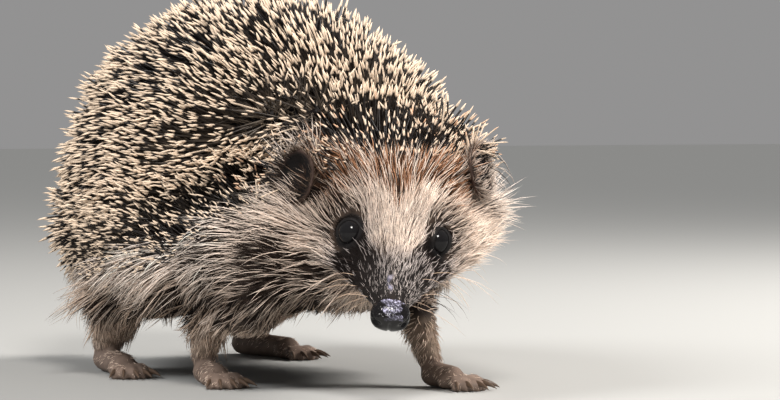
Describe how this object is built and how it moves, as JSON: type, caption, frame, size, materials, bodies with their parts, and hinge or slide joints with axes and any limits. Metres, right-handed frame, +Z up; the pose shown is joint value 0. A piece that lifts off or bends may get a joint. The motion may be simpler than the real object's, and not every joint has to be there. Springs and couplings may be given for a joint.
{
  "type": "hedgehog",
  "caption": "European hedgehog in mid step, head lowered and turned to its right, spined back over a fringe of coarse fur, as a still life-size model.",
  "frame": {"origin": "on the floor, under the middle of the whole outline", "axes": "+Z up, the trunk faces -Y, the animal's left side is +X; the head turns towards -X"},
  "size_m": [0.1158, 0.2148, 0.1204],
  "materials": {
    "spines": "cream-tipped, dark-banded keratin spines, satin",
    "fur": "coarse grey-beige hair, matte",
    "skin": "thinly haired brown-grey skin, matte",
    "nose": "black pebbled skin, wet",
    "eye": "black, glossy"
  },
  "bodies": {
    "root": {"trunk": "spines", "neck": "spines", "head": "fur", "nose": "nose", "eye_left": "eye", "eye_right": "eye", "ear_left": "skin", "ear_right": "skin", "tail": "fur", "foreleg_left": "fur", "foreleg_right": "fur", "hindleg_left": "fur", "hindleg_right": "fur", "forepaw_left": "skin", "forepaw_right": "skin", "hindpaw_left": "skin", "hindpaw_right": "skin"}
  },
  "joints": []
}
